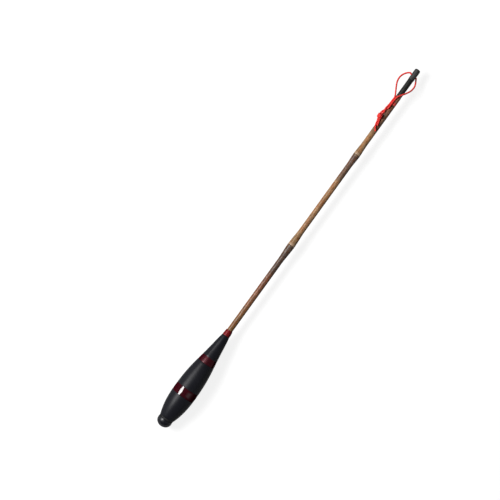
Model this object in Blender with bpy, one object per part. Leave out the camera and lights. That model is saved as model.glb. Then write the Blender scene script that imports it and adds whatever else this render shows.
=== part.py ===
"""Closed telescopic tanago rod, lying along X with its butt at -X and its front plug at +X.

Lengths are metres. Places along the rod are measured from the grip's butt face.
"""

import math

import bmesh
import bpy
from mathutils import Vector

# Grip: a turned spindle
GRIP_LENGTH = 0.0665
GRIP_BUTT_DIAMETER = 0.0102
BELLY_DIAMETER = 0.0166
BELLY_PLACE = 0.0208
GRIP_FRONT_DIAMETER = 0.0052
BUTT_FULLNESS = 2.4
NECK_HOLLOW = 0.36
GRIP_EDGE = 0.0003

# Red thread windings
REAR_WINDING_PLACE = 0.0179
REAR_WINDING_LENGTH = 0.0059
MIDDLE_WINDING_PLACE = 0.0439
MIDDLE_WINDING_LENGTH = 0.0048
WINDING_DEPTH = 0.0006
FRONT_WINDING_LENGTH = 0.0042
FRONT_WINDING_END_DIAMETER = 0.0045
FRONT_WINDING_CROWN = 0.00008

# Outer tube with its bamboo nodes
TUBE_DIAMETER = 0.0039
TUBE_WALL = 0.00035
TUBE_ROOT = 0.0104
TUBE_REACH = 0.1896
FIRST_NODE_REACH = 0.0687
FIRST_NODE_SWELL = 0.00056
FIRST_NODE_SPREAD = 0.0130
NODE_SPACING = 0.0735
SECOND_NODE_SWELL = 0.00038
SECOND_NODE_SPREAD = 0.0092
NODE_RIDGE = 0.00010
NODE_RIDGE_WIDTH = 0.0008
# The ridge and the scar past it: shares of the ridge's width, and of its height
NODE_RIDGE_OUTLINE = ((-0.4, 1.0), (0.0, 1.0), (0.3, -1.0))

# Inner sections
SECOND_WALL = 0.00030
THIRD_WALL = 0.00026
COLLAR_LENGTH = 0.0120
COLLAR_TAPER = 0.0015
MOUTH_LENGTH = 0.0120
MOUTH_STEP = 0.00014
FRONT_STAGGER = 0.0010
LILIAN_SETBACK = 0.0045
TIP_END_DIAMETER = 0.0005
SLEEVE_LENGTH = 0.0080
SLEEVE_WALL = 0.00010
SLEEVE_GAP = 0.00005
LILIAN_LENGTH = 0.0150
LILIAN_KNOT_DIAMETER = 0.00080
LILIAN_KNOT_LENGTH = 0.0012
LILIAN_KNOT_SLOPE = 0.0003

# Butt plug, gasket, bush and pad
KNOB_DIAMETER = 0.0102
KNOB_LENGTH = 0.0055
DOME_HEIGHT = 0.0043
KNOB_FLAT_DIAMETER = 0.0022
THREAD_DIAMETER = 0.0049
THREAD_DEPTH = 0.00032
THREAD_PITCH = 0.0008
THREAD_TURNS = 8
SHANK_NECK = 0.0010
GASKET_THICKNESS = 0.0004
GASKET_DIAMETER = 0.0098
GASKET_EDGE = 0.0001
BUSH_LENGTH = 0.0080
BUSH_WALL = 0.0011
PAD_THICKNESS = 0.0015
PAD_DIAMETER = 0.0045
PAD_EDGE = 0.0003

# Front plug
STEM_DIAMETER = 0.0037
STEM_LENGTH = 0.0135
SPIGOT_LENGTH = 0.0080
NIPPLE_DIAMETER = 0.0020
NIPPLE_LENGTH = 0.0017
HEAD_DIAMETER = 0.00396
HEAD_LENGTH = 0.0083
HEAD_FLAT_DIAMETER = 0.0020
HEAD_ROUNDING = 0.0011
HEAD_EDGE = 0.00015
EYE_PLACE = 0.0031
EYE_DIAMETER = 0.0014
EYE_MOUTH_DIAMETER = 0.0021

# Keeper cord
CORD_DIAMETER = 0.00095
CORD_POINT_SPACING = 0.0021
RUN_POINT_SPACING = 0.0011
STRAND_SPACING = 0.00120
RUN_STRAIGHT_SHARE = 0.35
RUN_TURN = math.radians(240)
KNOT_LENGTH = 0.0034
KNOT_DIAMETER = 0.0031
KNOT_FULLNESS = 0.8

# Clearances
SEAT_GAP = 0.0003
GLUE_GAP = 0.0001
RUNNING_GAP = 0.00008
THREAD_GAP = 0.00015

# Facets around the rod, and steps along its curves
FACETS = 24
TIP_FACETS = 12
OUTLINE_STEP = 0.0030
FINE_STEP = 0.0015
FRONT_WINDING_STEP = 0.00085
RINGS_PER_PITCH = 6
DOME_STEPS = 7
HEAD_STEPS = 4
KNOT_STEPS = 6
CURVE_SAMPLES = 16
CORD_ROUNDNESS = 2
SMOOTH_ANGLE = math.radians(35)
MERGE_DISTANCE = 1e-7

# Radii and places worked out from the sizes above
GRIP_BUTT_RADIUS = GRIP_BUTT_DIAMETER / 2
BELLY_RADIUS = BELLY_DIAMETER / 2
GRIP_FRONT_RADIUS = GRIP_FRONT_DIAMETER / 2
TUBE_RADIUS = TUBE_DIAMETER / 2
TUBE_BORE = TUBE_RADIUS - TUBE_WALL
TUBE_MOUTH = TUBE_BORE - MOUTH_STEP
SECOND_RADIUS = TUBE_MOUTH - RUNNING_GAP
SECOND_BORE = SECOND_RADIUS - SECOND_WALL
SECOND_MOUTH = SECOND_BORE - MOUTH_STEP
THIRD_RADIUS = SECOND_MOUTH - RUNNING_GAP
THIRD_BORE = THIRD_RADIUS - THIRD_WALL
THIRD_MOUTH = THIRD_BORE - MOUTH_STEP
TIP_RADIUS = THIRD_MOUTH - RUNNING_GAP
THREAD_RADIUS = THREAD_DIAMETER / 2
BUSH_BORE = THREAD_RADIUS + THREAD_GAP
BUSH_RADIUS = BUSH_BORE + BUSH_WALL
KNOB_BASE = -(2 * SEAT_GAP + GASKET_THICKNESS)
SHANK_END = KNOB_BASE + SHANK_NECK + THREAD_PITCH * THREAD_TURNS
PAD_BACK = SHANK_END + SEAT_GAP
PAD_FRONT = PAD_BACK + PAD_THICKNESS
SECTIONS_BUTT = PAD_FRONT + SEAT_GAP
BUSH_SEAT = BUSH_LENGTH + SEAT_GAP
TUBE_START = GRIP_LENGTH + FRONT_WINDING_LENGTH
FIRST_NODE = TUBE_START + FIRST_NODE_REACH
SECOND_NODE = FIRST_NODE + NODE_SPACING
TUBE_END = TUBE_START + TUBE_REACH
SECOND_END = TUBE_END - SPIGOT_LENGTH - SEAT_GAP
THIRD_END = SECOND_END - FRONT_STAGGER
TIP_END = THIRD_END - LILIAN_SETBACK - LILIAN_KNOT_LENGTH - LILIAN_LENGTH - SEAT_GAP
STEM_END = TUBE_END + STEM_LENGTH
HEAD_END = STEM_END + HEAD_LENGTH
EYE = STEM_END + EYE_PLACE
KNOB_END = KNOB_BASE - KNOB_LENGTH

# The rod rests on its belly's lowest facet, and its middle lies over the origin
AXIS_HEIGHT = BELLY_RADIUS * math.cos(math.pi / FACETS)
MIDDLE = (KNOB_END + HEAD_END) / 2

# Keeper cord's route, from the middle of the plug's cross hole: ahead, to the left, up
LEFT_LOOP = (
    (0.0000, 0.0002, 0.0000),
    (0.0000, 0.0011, 0.0000),
    (0.0002, 0.0020, 0.0000),
    (0.0007, 0.0029, -0.0002),
    (0.0005, 0.0040, -0.0006),
    (-0.0006, 0.0054, -0.0010),
    (-0.0020, 0.0064, -0.0013),
    (-0.0040, 0.0070, -0.0014),
    (-0.0064, 0.0072, -0.0014),
    (-0.0085, 0.0068, -0.0011),
    (-0.0105, 0.0060, -0.0005),
    (-0.0127, 0.0049, 0.0004),
    (-0.0148, 0.0038, 0.0012),
    (-0.0168, 0.0027, 0.0018),
)
RIGHT_LOOP = (
    (0.0000, -0.0002, 0.0000),
    (0.0000, -0.0011, 0.0000),
    (-0.0001, -0.0020, 0.0000),
    (-0.0007, -0.0027, -0.0002),
    (-0.0018, -0.0032, -0.0006),
    (-0.0033, -0.0039, -0.0008),
    (-0.0049, -0.0045, -0.0008),
    (-0.0066, -0.0047, -0.0006),
    (-0.0084, -0.0044, 0.0000),
    (-0.0102, -0.0037, 0.0009),
    (-0.0118, -0.0027, 0.0018),
    (-0.0133, -0.0014, 0.0026),
    (-0.0149, -0.0002, 0.0030),
    (-0.0168, 0.0007, 0.0030),
)
# The rest of the route: ahead of the cross hole, standoff from the rod's axis, degrees over to the left
RUN_ROUTE = (
    (-0.0190, 0.00270, 38.0),
    (-0.0215, 0.00267, 39.0),
    (-0.0240, 0.00285, 37.0),
    (-0.0265, 0.00320, 35.0),
    (-0.0287, 0.00320, 45.0),
    (-0.0303, 0.00318, 56.0),
    (-0.0319, 0.00345, 62.0),
)
KNOT_ROUTE = (-0.0341, 0.00368, 58.0)
LEFT_TAIL = (
    (-0.0361, 0.00335, 68.0),
    (-0.0372, 0.00290, 64.0),
    (-0.0384, 0.00272, 58.0),
    (-0.0397, 0.00268, 50.0),
    (-0.0409, 0.00268, 40.0),
    (-0.0420, 0.00268, 27.0),
    (-0.0430, 0.00272, 10.0),
    (-0.0438, 0.00274, -8.0),
    (-0.0444, 0.00270, -24.0),
)
RIGHT_TAIL = (
    (-0.0361, 0.00325, 42.0),
    (-0.0372, 0.00285, 35.0),
    (-0.0384, 0.00270, 30.0),
    (-0.0397, 0.00266, 21.0),
    (-0.0406, 0.00264, 12.0),
)


def clear_scene():
    """Remove every object that the scene starts with."""
    for obj in list(bpy.data.objects):
        bpy.data.objects.remove(obj)


def finish(name, colour, roughness, metallic=0.0):
    """A plain surface finish."""
    material = bpy.data.materials.new(name)
    material.use_nodes = True
    shader = material.node_tree.nodes["Principled BSDF"]
    shader.inputs["Base Color"].default_value = (*colour, 1.0)
    shader.inputs["Roughness"].default_value = roughness
    shader.inputs["Metallic"].default_value = metallic
    return material


def empty(name, place, parent):
    """An empty on the rod's axis that carries the pieces of one body."""
    holder = bpy.data.objects.new(name, None)
    bpy.context.collection.objects.link(holder)
    holder.parent = parent
    holder.location = (place, 0.0, 0.0)
    return holder


def add_mesh(name, bm, place, parent):
    """Turn a bmesh into an object at its place along its parent, closed and with normals outwards."""
    bmesh.ops.remove_doubles(bm, verts=bm.verts, dist=MERGE_DISTANCE)
    bmesh.ops.recalc_face_normals(bm, faces=bm.faces)
    mesh = bpy.data.meshes.new(name)
    bm.to_mesh(mesh)
    bm.free()
    obj = bpy.data.objects.new(name, mesh)
    bpy.context.collection.objects.link(obj)
    obj.parent = parent
    obj.location = (place, 0.0, 0.0)
    return obj


def add_piece(name, bm, place, material, parent):
    """A piece of the rod with its finish, and with its round faces shaded smooth."""
    obj = add_mesh(name, bm, place, parent)
    obj.data.materials.append(material)
    obj.data.shade_smooth()
    obj.data.set_sharp_from_angle(angle=SMOOTH_ANGLE)
    return obj


def spun(outline, facets, axis="X"):
    """Spin an outline of (place, radius) points round an axis, with a flat facet underneath."""
    bm = bmesh.new()
    half = math.pi / facets
    direction = {"X": Vector((1, 0, 0)), "Y": Vector((0, 1, 0))}[axis]
    out = {"X": Vector((0, math.sin(half), -math.cos(half))),
           "Y": Vector((math.sin(half), 0, -math.cos(half)))}[axis]
    verts = [bm.verts.new(direction * place + out * radius) for place, radius in outline]
    pairs = list(zip(verts, verts[1:]))
    if outline[0][1] > 0 or outline[-1][1] > 0:
        pairs.append((verts[-1], verts[0]))
    edges = [bm.edges.new(pair) for pair in pairs]
    bmesh.ops.spin(bm, geom=verts + edges, axis=direction, cent=(0, 0, 0), steps=facets,
                   angle=math.tau, use_merge=True)
    return bm


def turned(name, outline, material, parent, facets=FACETS):
    """A turned piece whose own origin is its first point's place on the axis."""
    start = outline[0][0]
    shifted = [(place - start, radius) for place, radius in outline]
    return add_piece(name, spun(shifted, facets), start - parent["place"], material, parent)


def steps_between(start, end, step):
    """Evenly spaced places from start to end, both included, no further apart than step."""
    count = max(1, math.ceil((end - start) / step))
    return [start + (end - start) * index / count for index in range(count + 1)]


def grip_radius(place):
    """The spindle's radius: a full butt, a round belly, and a neck that hollows towards the tube."""
    if place <= BELLY_PLACE:
        share = 1 - place / BELLY_PLACE
        return BELLY_RADIUS - (BELLY_RADIUS - GRIP_BUTT_RADIUS) * share ** BUTT_FULLNESS
    share = (place - BELLY_PLACE) / (GRIP_LENGTH - BELLY_PLACE)
    hollow = 1 + NECK_HOLLOW * (4 * share * (1 - share)) ** 2
    return BELLY_RADIUS - (BELLY_RADIUS - GRIP_FRONT_RADIUS) * share ** 2 * hollow


def groove_floor(start, length):
    """Radius of the flat-bottomed groove that takes a winding."""
    return min(grip_radius(start), grip_radius(start + length)) - WINDING_DEPTH


WINDINGS = {
    "winding_rear": (REAR_WINDING_PLACE, REAR_WINDING_LENGTH),
    "winding_middle": (MIDDLE_WINDING_PLACE, MIDDLE_WINDING_LENGTH),
}


def make_grip(material, parent):
    """Turned grip with two winding grooves, a counterbore for the bush and a bore for the tube."""
    outline = [(0.0, GRIP_BUTT_RADIUS - GRIP_EDGE)]
    reached = GRIP_EDGE
    for start, length in WINDINGS.values():
        outline += [(place, grip_radius(place)) for place in steps_between(reached, start, OUTLINE_STEP)]
        floor = groove_floor(start, length)
        reached = start + length
        outline += [(start, floor), (reached, floor)]
    outline += [(place, grip_radius(place)) for place in steps_between(reached, GRIP_LENGTH, OUTLINE_STEP)]
    tube_seat = TUBE_RADIUS + GLUE_GAP
    bush_seat = BUSH_RADIUS + GLUE_GAP
    outline += [
        (GRIP_LENGTH, tube_seat),
        (TUBE_ROOT, tube_seat),
        (TUBE_ROOT, BUSH_BORE),
        (BUSH_SEAT, BUSH_BORE),
        (BUSH_SEAT, bush_seat),
        (0.0, bush_seat),
    ]
    return turned("grip", outline, material, parent)


def make_winding(name, material, parent):
    """Thread winding let into the grip, flush with its surface."""
    start, length = WINDINGS[name]
    inner = groove_floor(start, length) + GLUE_GAP
    places = steps_between(start + GLUE_GAP, start + length - GLUE_GAP, FINE_STEP)
    outline = [(place, grip_radius(place)) for place in places]
    outline += [(places[-1], inner), (places[0], inner)]
    return turned(name, outline, material, parent)


def make_front_winding(material, parent):
    """Thread winding over the tube's root, in front of the grip, slightly crowned."""
    inner = TUBE_RADIUS + GLUE_GAP
    back = GRIP_FRONT_RADIUS
    front = FRONT_WINDING_END_DIAMETER / 2
    start = GRIP_LENGTH + GLUE_GAP
    outline = []
    for place in steps_between(start, TUBE_START, FRONT_WINDING_STEP):
        share = (place - start) / (TUBE_START - start)
        crown = FRONT_WINDING_CROWN * math.sin(math.pi * share)
        outline.append((place, back + (front - back) * share + crown))
    outline += [(TUBE_START, inner), (start, inner)]
    return turned("winding_front", outline, material, parent)


def node_swell(place):
    """How far the tube swells at a place near its two nodes."""
    swell = 0.0
    for centre, height, spread in (
        (FIRST_NODE, FIRST_NODE_SWELL, FIRST_NODE_SPREAD),
        (SECOND_NODE, SECOND_NODE_SWELL, SECOND_NODE_SPREAD),
    ):
        share = min(1.0, abs(place - centre) / spread)
        swell += height * math.cos(math.pi / 2 * share) ** 2
    return swell


def node_outline(centre, spread):
    """The tube's outline over one node, with the sharp ridge and the scar just past it."""
    before = steps_between(centre - spread, centre - NODE_RIDGE_WIDTH, FINE_STEP)
    after = steps_between(centre + NODE_RIDGE_WIDTH, centre + spread, FINE_STEP)
    points = [(place, TUBE_RADIUS + node_swell(place)) for place in before]
    for shift, lift in NODE_RIDGE_OUTLINE:
        place = centre + shift * NODE_RIDGE_WIDTH
        points.append((place, TUBE_RADIUS + node_swell(place) + lift * NODE_RIDGE))
    points += [(place, TUBE_RADIUS + node_swell(place)) for place in after]
    return points


def make_butt_section(material, parent):
    """Outer tube from its root in the grip to its narrowed mouth."""
    lip = TUBE_END - MOUTH_LENGTH
    outline = [(TUBE_ROOT + SEAT_GAP, TUBE_RADIUS)]
    outline += node_outline(FIRST_NODE, FIRST_NODE_SPREAD)
    outline += node_outline(SECOND_NODE, SECOND_NODE_SPREAD)
    outline += [
        (TUBE_END, TUBE_RADIUS),
        (TUBE_END, TUBE_MOUTH),
        (lip, TUBE_MOUTH),
        (lip - COLLAR_TAPER, TUBE_BORE),
        (TUBE_ROOT + SEAT_GAP, TUBE_BORE),
    ]
    return turned("butt_section", outline, material, parent)


def make_section(name, end, radius, carrier_bore, bore, mouth, material, parent):
    """Inner tube with a wide collar at its butt and a narrowed mouth."""
    collar = carrier_bore - RUNNING_GAP
    collar_end = SECTIONS_BUTT + COLLAR_LENGTH
    lip = end - MOUTH_LENGTH
    outline = [
        (SECTIONS_BUTT, collar),
        (collar_end, collar),
        (collar_end + COLLAR_TAPER, radius),
        (end, radius),
        (end, mouth),
        (lip, mouth),
        (lip - COLLAR_TAPER, bore),
        (SECTIONS_BUTT, bore),
    ]
    return turned(name, outline, material, parent)


def make_tip(material, parent):
    """Solid tip, tapering from its collar to the end that holds the lilian."""
    collar = THIRD_BORE - RUNNING_GAP
    collar_end = SECTIONS_BUTT + COLLAR_LENGTH
    outline = [
        (SECTIONS_BUTT, 0.0),
        (SECTIONS_BUTT, collar),
        (collar_end, collar),
        (collar_end + COLLAR_TAPER, TIP_RADIUS),
        (TIP_END - SLEEVE_LENGTH, TIP_END_DIAMETER / 2),
        (TIP_END, TIP_END_DIAMETER / 2),
        (TIP_END, 0.0),
    ]
    return turned("tip_section", outline, material, parent, TIP_FACETS)


def make_lilian(sleeve_material, lilian_material, parent):
    """The sleeve over the tip's end, and the short braided line holder with its end knot."""
    inner = TIP_END_DIAMETER / 2 + SLEEVE_GAP
    outer = inner + SLEEVE_WALL
    back = TIP_END - SLEEVE_LENGTH / 2
    front = TIP_END + SLEEVE_LENGTH / 2
    outline = [(back, outer), (front, outer), (front, inner), (back, inner)]
    sleeve = turned("lilian_sleeve", outline, sleeve_material, parent, TIP_FACETS)
    line = TIP_END_DIAMETER / 2
    root = TIP_END + SEAT_GAP
    knot = root + LILIAN_LENGTH
    end = knot + LILIAN_KNOT_LENGTH
    outline = [
        (root, 0.0),
        (root, line),
        (knot, line),
        (knot + LILIAN_KNOT_SLOPE, LILIAN_KNOT_DIAMETER / 2),
        (end - LILIAN_KNOT_SLOPE, LILIAN_KNOT_DIAMETER / 2),
        (end, line),
        (end, 0.0),
    ]
    lilian = turned("lilian", outline, lilian_material, parent, TIP_FACETS)
    return sleeve, lilian


def dome_outline():
    """The knob's outline from its flat crown, round the dome and down to its base."""
    radius = KNOB_DIAMETER / 2
    crown = math.asin(KNOB_FLAT_DIAMETER / KNOB_DIAMETER)
    points = []
    for index in range(DOME_STEPS + 1):
        angle = crown + (math.pi / 2 - crown) * index / DOME_STEPS
        height = DOME_HEIGHT * math.cos(angle) / math.cos(crown)
        points.append((KNOB_END + DOME_HEIGHT - height, radius * math.sin(angle)))
    points.append((KNOB_BASE - GRIP_EDGE, radius))
    points.append((KNOB_BASE, radius - GRIP_EDGE))
    return points


def thread_radius(place, angle):
    """Radius of the shank's thread: a sharp ridge that winds once a pitch and runs out at both ends."""
    start = KNOB_BASE + SHANK_NECK
    turns = (place - start) / THREAD_PITCH
    phase = (turns - angle / math.tau) % 1.0
    ridge = 1 - abs(2 * phase - 1)
    runout = min(1.0, turns, THREAD_TURNS - turns)
    return THREAD_RADIUS - THREAD_DEPTH * (1 - ridge * max(0.0, runout))


def make_butt_plug(material, parent):
    """Domed screw plug: the knob, a plain neck and a right-hand thread on its shank."""
    rings = [(place, lambda angle, radius=radius: radius) for place, radius in dome_outline()]
    root = THREAD_RADIUS - THREAD_DEPTH
    rings.append((KNOB_BASE, lambda angle: root))
    start = KNOB_BASE + SHANK_NECK
    count = THREAD_TURNS * RINGS_PER_PITCH
    for index in range(count + 1):
        place = start + (SHANK_END - start) * index / count
        rings.append((place, lambda angle, place=place: thread_radius(place, angle)))
    bm = bmesh.new()
    loops = []
    for place, radius in rings:
        loop = []
        for facet in range(FACETS):
            angle = math.tau * (facet + 0.5) / FACETS
            reach = radius(angle)
            at = (place - KNOB_BASE, reach * math.sin(angle), -reach * math.cos(angle))
            loop.append(bm.verts.new(at))
        loops.append(loop)
    for back, front in zip(loops, loops[1:]):
        for facet in range(FACETS):
            after = (facet + 1) % FACETS
            bm.faces.new((back[facet], back[after], front[after], front[facet]))
    bm.faces.new(loops[0])
    bm.faces.new(loops[-1])
    return add_piece("butt_plug", bm, KNOB_BASE - parent["place"], material, parent)


def make_gasket(material, parent):
    """Flat rubber ring with eased edges, squeezed between the knob and the grip."""
    inner = BUSH_BORE
    outer = GASKET_DIAMETER / 2
    back = KNOB_BASE + SEAT_GAP
    front = -SEAT_GAP
    outline = [
        (back, inner),
        (back, outer - GASKET_EDGE),
        (back + GASKET_EDGE, outer),
        (front - GASKET_EDGE, outer),
        (front, outer - GASKET_EDGE),
        (front, inner),
    ]
    return turned("gasket", outline, material, parent)


def make_bush(material, parent):
    """Brass bush that is glued into the grip's butt and takes the plug's thread."""
    outline = [(0.0, BUSH_RADIUS), (BUSH_LENGTH, BUSH_RADIUS), (BUSH_LENGTH, BUSH_BORE), (0.0, BUSH_BORE)]
    return turned("butt_bush", outline, material, parent)


def make_pad(material, parent):
    """Rubber disc on the shank's end that the inner sections rest against."""
    radius = PAD_DIAMETER / 2
    outline = [
        (PAD_BACK, 0.0),
        (PAD_BACK, radius - PAD_EDGE),
        (PAD_BACK + PAD_EDGE, radius),
        (PAD_FRONT - PAD_EDGE, radius),
        (PAD_FRONT, radius - PAD_EDGE),
        (PAD_FRONT, 0.0),
    ]
    return turned("rattle_pad", outline, material, parent)


def make_stem(material, parent):
    """Front plug's stem: the spigot in the tube's mouth, the stem, and the nipple for the head."""
    spigot = TUBE_MOUTH - RUNNING_GAP
    back = TUBE_END - SPIGOT_LENGTH
    shoulder = TUBE_END + SEAT_GAP
    radius = STEM_DIAMETER / 2
    nipple = NIPPLE_DIAMETER / 2
    outline = [
        (back, 0.0),
        (back, spigot - HEAD_EDGE),
        (back + HEAD_EDGE, spigot),
        (shoulder, spigot),
        (shoulder, radius - HEAD_EDGE),
        (shoulder + HEAD_EDGE, radius),
        (STEM_END - HEAD_EDGE, radius),
        (STEM_END, radius - HEAD_EDGE),
        (STEM_END, nipple),
        (STEM_END + NIPPLE_LENGTH, nipple),
        (STEM_END + NIPPLE_LENGTH, 0.0),
    ]
    return turned("plug_stem", outline, material, parent)


def eye_cutter(parent):
    """Cutter for the cross hole, flared at both mouths."""
    bore = EYE_DIAMETER / 2
    mouth = EYE_MOUTH_DIAMETER / 2
    head = HEAD_DIAMETER / 2
    flare = head - (mouth - bore)
    past = head + (mouth - bore)
    wide = mouth + (mouth - bore)
    outline = [(-past, 0.0), (-past, wide), (-flare, bore), (flare, bore), (past, wide), (past, 0.0)]
    cutter = add_mesh("eye_cutter", spun(outline, FACETS, "Y"), EYE - parent["place"], parent)
    cutter.hide_render = True
    cutter.display_type = "WIRE"
    return cutter


def make_head(material, parent):
    """Front plug's head: a socket for the nipple, a rounded end and a cross hole for the cord."""
    radius = HEAD_DIAMETER / 2
    flat = HEAD_FLAT_DIAMETER / 2
    socket = NIPPLE_DIAMETER / 2 + GLUE_GAP
    start = STEM_END + GLUE_GAP
    depth = STEM_END + NIPPLE_LENGTH + GLUE_GAP
    outline = [
        (depth, 0.0),
        (depth, socket),
        (start, socket),
        (start, radius - HEAD_EDGE),
        (start + HEAD_EDGE, radius),
    ]
    for index in range(HEAD_STEPS + 1):
        angle = math.pi / 2 * index / HEAD_STEPS
        place = HEAD_END - HEAD_ROUNDING + HEAD_ROUNDING * math.sin(angle)
        outline.append((place, flat + (radius - flat) * math.cos(angle)))
    outline.append((HEAD_END, 0.0))
    head = turned("plug_head", outline, material, parent)
    cut = head.modifiers.new("cross hole", "BOOLEAN")
    cut.object = eye_cutter(parent)
    cut.operation = "DIFFERENCE"
    return head


def polar(ahead, standoff, degrees):
    """A point at a distance from the rod's axis, so many degrees over to the left of straight up."""
    angle = math.radians(degrees)
    return Vector((ahead, standoff * math.sin(angle), standoff * math.cos(angle)))


def smooth_route(points, spacing):
    """Points at an even spacing along a smooth curve through the given points."""
    points = [Vector(point) for point in points]
    ends = [points[0] * 2 - points[1], *points, points[-1] * 2 - points[-2]]
    dense = []
    for before, here, there, after in zip(ends, ends[1:], ends[2:], ends[3:]):
        for index in range(CURVE_SAMPLES):
            t = index / CURVE_SAMPLES
            dense.append(0.5 * (2 * here + (there - before) * t
                                + (2 * before - 5 * here + 4 * there - after) * t ** 2
                                + (3 * here - before - 3 * there + after) * t ** 3))
    dense.append(points[-1])
    length = sum((there - here).length for here, there in zip(dense, dense[1:]))
    count = max(2, round(length / spacing))
    route = [dense[0]]
    travelled = 0.0
    for here, there in zip(dense, dense[1:]):
        step = (there - here).length
        while len(route) < count and travelled + step >= length * len(route) / count:
            share = (length * len(route) / count - travelled) / step
            route.append(here.lerp(there, share))
        travelled += step
    route.append(dense[-1])
    return route


def run_points(side):
    """One strand of the doubled run: it lies beside the other, then winds part of a turn round it."""
    centre = smooth_route([polar(*place) for place in RUN_ROUTE], RUN_POINT_SPACING)
    points = []
    for index, point in enumerate(centre):
        share = index / (len(centre) - 1)
        wound = max(0.0, share - RUN_STRAIGHT_SHARE) / (1 - RUN_STRAIGHT_SHARE)
        turn = RUN_TURN * wound ** 2 * (3 - 2 * wound)
        out = Vector((0.0, point.y, point.z)).normalized()
        left = Vector((0.0, out.z, -out.y))
        points.append(point + side * STRAND_SPACING / 2 * (left * math.cos(turn) + out * math.sin(turn)))
    return points


def cord(name, points, material, parent):
    """A plain round length of cord through the given points, with closed ends."""
    curve = bpy.data.curves.new(name, "CURVE")
    curve.dimensions = "3D"
    curve.bevel_depth = CORD_DIAMETER / 2
    curve.bevel_resolution = CORD_ROUNDNESS
    curve.use_fill_caps = True
    curve.materials.append(material)
    spline = curve.splines.new("POLY")
    spline.points.add(len(points) - 1)
    for slot, point in zip(spline.points, points):
        slot.co = (*point, 1.0)
    obj = bpy.data.objects.new(name, curve)
    bpy.context.collection.objects.link(obj)
    obj.parent = parent
    obj.location = (EYE - parent["place"], 0.0, 0.0)
    return obj


def make_keeper(material, parent):
    """Keeper cord: two strands from the cross hole, a doubled run, a knot and two tails."""
    for name, loop, side in (("left", LEFT_LOOP, 1), ("right", RIGHT_LOOP, -1)):
        run = run_points(side)
        loop_part = smooth_route([*loop, run[0]], CORD_POINT_SPACING)
        cord(f"keeper_strand_{name}", loop_part + run[1:], material, parent)
    half = KNOT_LENGTH / 2
    widest = math.pi / 2 * KNOT_FULLNESS
    outline = [(-half, 0.0)]
    for index in range(KNOT_STEPS + 1):
        angle = widest * (2 * index / KNOT_STEPS - 1)
        outline.append((half * math.sin(angle) / math.sin(widest), KNOT_DIAMETER / 2 * math.cos(angle)))
    outline.append((half, 0.0))
    knot = add_piece("keeper_knot", spun(outline, TIP_FACETS), 0.0, material, parent)
    knot.location = Vector((EYE - parent["place"], 0.0, 0.0)) + polar(*KNOT_ROUTE)
    for name, route in (("left", LEFT_TAIL), ("right", RIGHT_TAIL)):
        points = smooth_route([polar(*place) for place in route], CORD_POINT_SPACING)
        cord(f"keeper_tail_{name}", points, material, parent)


def body(name, place, parent=None):
    """An empty that holds one moving body, with its place on the rod kept for its pieces."""
    holder = empty(name, place if parent is None else place - parent["place"], parent)
    holder["place"] = place
    return holder


def build():
    """Build the whole rod."""
    clear_scene()
    black_lacquer = finish("black lacquer", (0.012, 0.012, 0.014), 0.38)
    red_lacquer = finish("red lacquer", (0.07, 0.004, 0.009), 0.12)
    bright_red_lacquer = finish("bright red lacquer", (0.25, 0.012, 0.018), 0.15)
    bamboo = finish("bamboo finish", (0.27, 0.14, 0.065), 0.45)
    blank = finish("glass-fibre blank", (0.03, 0.028, 0.026), 0.3)
    tip_blank = finish("tip blank", (0.62, 0.58, 0.48), 0.35)
    brass = finish("brass", (0.60, 0.42, 0.17), 0.3, 1.0)
    rubber = finish("black rubber", (0.02, 0.02, 0.02), 0.8)
    knob_black = finish("black knob plastic", (0.014, 0.015, 0.017), 0.35)
    plug_black = finish("black plug plastic", (0.025, 0.026, 0.025), 0.5)
    head_black = finish("grey black rubber", (0.05, 0.05, 0.052), 0.7)
    braid = finish("red braid", (0.88, 0.036, 0.027), 0.75)
    lilian_braid = finish("red lilian braid", (0.65, 0.03, 0.03), 0.8)

    handle = body("handle_body", 0.0)
    handle.location = (-MIDDLE, 0.0, AXIS_HEIGHT)
    gasket_body = body("gasket_body", KNOB_BASE + SEAT_GAP, handle)
    plug_body = body("butt_plug_body", KNOB_BASE, gasket_body)
    second_body = body("second_section_body", SECTIONS_BUTT, handle)
    third_body = body("third_section_body", SECTIONS_BUTT, second_body)
    tip_body = body("tip_section_body", SECTIONS_BUTT, third_body)
    front_body = body("front_plug_body", TUBE_END, tip_body)

    make_grip(black_lacquer, handle)
    make_winding("winding_rear", red_lacquer, handle)
    make_winding("winding_middle", red_lacquer, handle)
    make_front_winding(bright_red_lacquer, handle)
    make_bush(brass, handle)
    make_butt_section(bamboo, handle)
    make_gasket(rubber, gasket_body)
    make_butt_plug(knob_black, plug_body)
    make_pad(rubber, plug_body)
    make_section("second_section", SECOND_END, SECOND_RADIUS, TUBE_BORE, SECOND_BORE, SECOND_MOUTH,
                 blank, second_body)
    make_section("third_section", THIRD_END, THIRD_RADIUS, SECOND_BORE, THIRD_BORE, THIRD_MOUTH,
                 blank, third_body)
    make_tip(tip_blank, tip_body)
    make_lilian(rubber, lilian_braid, tip_body)
    make_stem(plug_black, front_body)
    make_head(head_black, front_body)
    make_keeper(braid, front_body)


build()
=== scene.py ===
"""Closed tanago rod with its finishes: lacquered grip, red windings, bamboo-pattern tube and red keeper cord.

Lengths are metres. Places along the rod are measured from the grip's butt face, and radii from its axis.
"""

import math

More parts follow.
